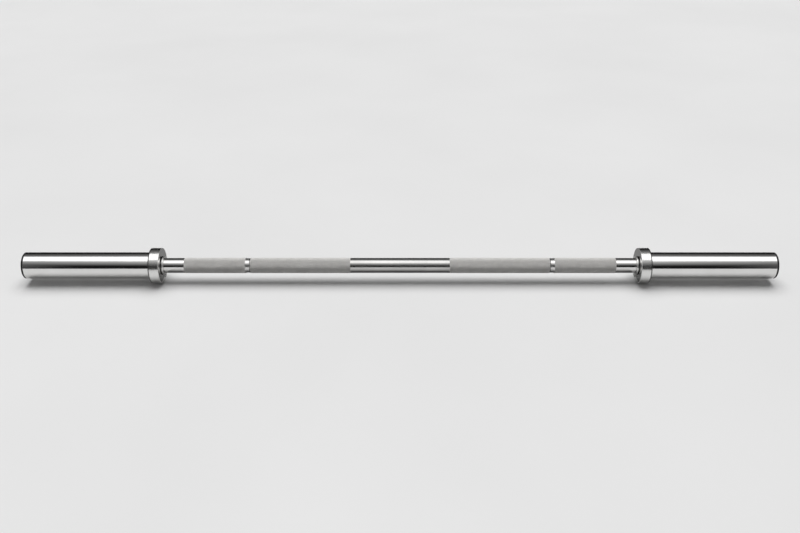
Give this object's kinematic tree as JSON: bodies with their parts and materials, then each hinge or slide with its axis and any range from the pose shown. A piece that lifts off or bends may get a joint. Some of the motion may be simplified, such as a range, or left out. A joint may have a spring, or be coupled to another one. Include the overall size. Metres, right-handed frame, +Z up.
{
  "type": "olympic barbell",
  "caption": "Chromed olympic barbell: a knurled straight shaft with ring marks, and at each end a round collar and a thick sleeve that turns freely and takes weight plates.",
  "frame": {"origin": "middle of the bar, on its axis", "axes": "X along the bar towards the right sleeve, +Z up, +Y away from the viewer of the picture"},
  "size_m": [1.4, 0.066, 0.066],
  "materials": {
    "shaft_chrome": "chrome plate on a turned and knurled steel bar",
    "sleeve_chrome": "bright polished chrome plate",
    "collar_chrome": "chrome plate over fine turning lines",
    "ring_chrome": "bright polished chrome plate",
    "seal_rubber": "matte black rubber",
    "bronze": "bored bronze with a film of oil",
    "washer_steel": "ground steel",
    "spring_steel": "blackened spring steel",
    "cap_plastic": "smooth black moulded plastic"
  },
  "bodies": {
    "shaft": {"shaft": "shaft_chrome", "left_stop_ring": "ring_chrome", "left_inner_thrust_washer": "bronze", "left_outer_thrust_washer": "washer_steel", "left_shaft_snap_ring": "spring_steel", "right_stop_ring": "ring_chrome", "right_inner_thrust_washer": "bronze", "right_outer_thrust_washer": "washer_steel", "right_shaft_snap_ring": "spring_steel"},
    "left_sleeve": {"left_sleeve_tube": "sleeve_chrome", "left_collar": "collar_chrome", "left_dust_seal": "seal_rubber", "left_inner_bushing": "bronze", "left_outer_bushing": "bronze", "left_end_cap": "cap_plastic"},
    "right_sleeve": {"right_sleeve_tube": "sleeve_chrome", "right_collar": "collar_chrome", "right_dust_seal": "seal_rubber", "right_inner_bushing": "bronze", "right_outer_bushing": "bronze", "right_end_cap": "cap_plastic"}
  },
  "joints": [
    {"name": "left_sleeve_spin", "type": "hinge", "parent": "shaft", "child": "left_sleeve", "pos_m": [-0.58, 0, 0], "axis": [1, 0, 0], "continuous": true},
    {"name": "right_sleeve_spin", "type": "hinge", "parent": "shaft", "child": "right_sleeve", "pos_m": [0.58, 0, 0], "axis": [1, 0, 0], "continuous": true}
  ]
}
